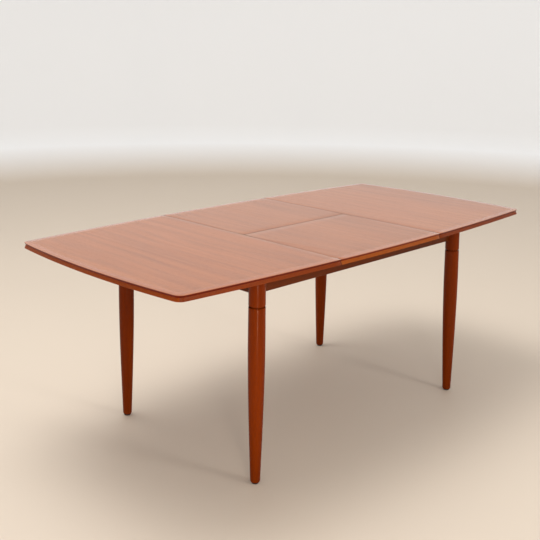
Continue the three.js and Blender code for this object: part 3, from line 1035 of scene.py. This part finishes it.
for end, side in ENDS:
    for place, _ in SIDES:
        node = f"{end}_{place}_pivot_pin"
        low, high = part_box(node)
        y, z = (low.y + high.y) / 2, (low.z + high.z) / 2
        tip, base = reach(node, 0)
        rim = base - FLANGE_THICKNESS
        outline = domed_head(tip) + [(PIN_RADIUS, rim)]
        outline += arc((FLANGE_RADIUS - FLANGE_EASING, rim + FLANGE_EASING), FLANGE_EASING, -90, 0, 3)
        outline += [(FLANGE_RADIUS, base), (0, base)]
        pin = rod_along_x(outline, y, z, side)
        build(pin, f"{end}_{place}_frame_pin", "frame", zinc, [node])
        ring = (FLANGE_RADIUS + PIN_RADIUS) / 2
        places = [
            (side * rim, y + ring * math.cos(a), z + ring * math.sin(a)) for a in PIN_SCREW_TURNS
        ]
        screws(f"{end}_{place}_pin_screws", "frame", places, (-side, 0, 0), PIN_SCREW)


# Leaf brackets. Pressed steel angles under the rear half of the leaf. The wide flange takes four
# screws, the round-ended web hangs down, and a riveted stud through it carries the arm.
BRACKET_FACE = 0.274
BRACKET_PLATE = 0.003
BRACKET_BACK = BRACKET_FACE - BRACKET_PLATE
BRACKET_FLANGE = 0.034
BRACKET_INNER = BRACKET_FACE - BRACKET_FLANGE
BRACKET_HALF_LENGTH = 0.022
BRACKET_HALF_WEB = 0.009
BRACKET_CORNER = 0.004
BRACKET_SCREW = 0.003
BRACKET_MARGIN = 0.0065
BEND = 0.0045
BEND_START = BRACKET_FACE - BEND
WEB_ROUND = BRACKET_HALF_WEB * 0.98
RIVET_RISE = 0.0008
STUD_Z = reach("right_rear_swing_arm", 2)[1] - ARM_EYE

for end, side in ENDS:
    for place, _ in SIDES:
        node = f"{end}_{place}_leaf_bracket"
        low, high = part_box(node)
        middle = (low.y + high.y) / 2
        under = high.z - BRACKET_PLATE
        foot = STUD_Z - BRACKET_HALF_WEB
        bend = (BEND_START, high.z - BEND)
        strip = [(BRACKET_INNER + BRACKET_CORNER, high.z), *arc(bend, BEND, 90, 0, 6)]
        strip += [(BRACKET_FACE, foot), (BRACKET_BACK, foot)]
        strip += arc(bend, BEND - BRACKET_PLATE, 0, 90, 6)
        strip += [(BRACKET_INNER + BRACKET_CORNER, under)]
        start = middle - BRACKET_HALF_WEB
        angle = prism([(side * x, start, z) for x, z in strip], (0, 2 * BRACKET_HALF_WEB, 0))
        corners = [e for e in angle.edges if lies_at(e, 2, foot) and span(e, 1) < TOUCH]
        ease(angle, corners, WEB_ROUND, 8)
        bmesh.ops.recalc_face_normals(angle, faces=angle.faces)

        flange = block(
            (side * BRACKET_INNER, middle - BRACKET_HALF_LENGTH, under),
            (side * (BEND_START - BEYOND), middle + BRACKET_HALF_LENGTH, high.z),
        )
        ease(flange, [e for e in flange.edges if span(e, 2) > TOUCH], BRACKET_CORNER, 4)

        head = reach(node, 0)[1]
        outline = [(0, BRACKET_BACK - RIVET_RISE), (PIN_RADIUS, BRACKET_BACK - RIVET_RISE)]
        outline += [(radius, head - depth) for radius, depth in reversed(domed_head(0))]
        stud = rod_along_x(outline, middle, STUD_Z, side)
        bracket = combined("UNION", angle, flange, stud)
        build(bracket, f"{end}_{place}_bracket", "rear_leaf", zinc, [node])
        places = [
            (side * x, middle + way * (BRACKET_HALF_LENGTH - BRACKET_MARGIN), under)
            for x in (BRACKET_INNER + BRACKET_MARGIN, BEND_START - BRACKET_MARGIN)
            for way in (-1, 1)
        ]
        name = f"{end}_{place}_bracket_screws"
        screws(name, "rear_leaf", places, (0, 0, -1), BRACKET_SCREW)


# Folding hinges. Small brass plates, browned with age, let into the leaf's ends. A short
# double-pinned link joins each pair, so that one half folds flat on top of the other.
brass_shader = Shader("satin_brass")
brass_cloud = brass_shader.noise(brass_shader.place(), 90.0, 4.0, 0.6)
satin_brass = brass_shader.surface(
    {
        "Base Color": brass_shader.mixed(brass_cloud, rgb("6d4f2a"), rgb("96714a")),
        "Metallic": 1.0,
        "Roughness": brass_cloud * 0.3 + 0.22,
    }
)
PLATE_EASING = 0.0003
LAP = 0.0019
LAP_SPLIT = 0.0002
EYE_RADIUS = 0.0029
EYE_AT_Y = 0.006
EYE_HOLE = 0.0014
EYE_GAP = 0.0005
LINK_EASING = 0.0002
LINK_PIN = 0.0012
LINK_PIN_SUNK = 0.0005
LAP_END = EYE_AT_Y + EYE_RADIUS + EYE_GAP
COUNTERSINK, COUNTERSINK_DEPTH = 0.0021, 0.0006
HINGE_SCREW, HINGE_SCREW_SUNK = 0.0019, 0.0004
HINGE_SCREWS_Y = (0.018, 0.037)

for end, side in ENDS:
    node = f"rear_leaf_{end}_hinge_plate"
    inner, outer = reach(node, 0)
    bottom, top = reach(node, 2)
    pin_z = (bottom + top) / 2
    lap_outer = outer - LAP - LAP_SPLIT
    for half, way in SIDES:
        node = f"{half}_leaf_{end}_hinge_plate"
        back = way * reach(node, 1)[1]
        eye_y = way * EYE_AT_Y
        ys = sorted((way * LAP_END, back))
        xs = sorted((side * inner, side * outer))
        plate = eased_block((xs[0], ys[0], bottom), (xs[1], ys[1], top), PLATE_EASING)
        lap = block((side * inner, eye_y, bottom), (side * lap_outer, way * (LAP_END + BEYOND), top))
        eye = disc_along_x(EYE_RADIUS, inner, lap_outer, eye_y, pin_z, side)
        bore = disc_along_x(EYE_HOLE, inner - BEYOND, outer + BEYOND, eye_y, pin_z, side)
        seats = [
            disc_along_x(COUNTERSINK, outer - COUNTERSINK_DEPTH, outer + BEYOND, way * y, pin_z, side)
            for y in HINGE_SCREWS_Y
        ]
        plate = combined("DIFFERENCE", combined("UNION", plate, lap, eye), bore, *seats)
        build(plate, f"{half}_{end}_hinge_leaf", f"{half}_leaf", satin_brass, [node])
        places = [(side * (outer - HINGE_SCREW_SUNK), way * y, pin_z) for y in HINGE_SCREWS_Y]
        name = f"{half}_{end}_hinge_screws"
        screws(name, f"{half}_leaf", places, (side, 0, 0), HINGE_SCREW, satin_brass)

    outline = arc((EYE_AT_Y, 0), EYE_RADIUS, -90, 90, 12)
    outline += arc((-EYE_AT_Y, 0), EYE_RADIUS, 90, 270, 12)
    link_x = min(side * outer, side * (outer - LAP))
    seat = [(0, 0, 1, link_x), (1, 0, 0, 0), (0, 1, 0, pin_z), (0, 0, 0, 1)]
    link = flat_bar(outline, LAP, LINK_EASING, seat)
    pins = [
        disc_along_x(LINK_PIN, inner, outer - LINK_PIN_SUNK, way * EYE_AT_Y, pin_z, side)
        for _, way in SIDES
    ]
    link = combined("UNION", link, *pins)
    build(link, f"{end}_fold_link", "hinge_links", satin_brass, [f"{end}_hinge_link"])


# Leg studs. Threaded steel rods inside the post and the leg, which show only when a leg is off.
for corner in CORNERS:
    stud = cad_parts[f"{corner}_leg_stud"]
    stud.data.materials.clear()
    stud.data.materials.append(zinc)
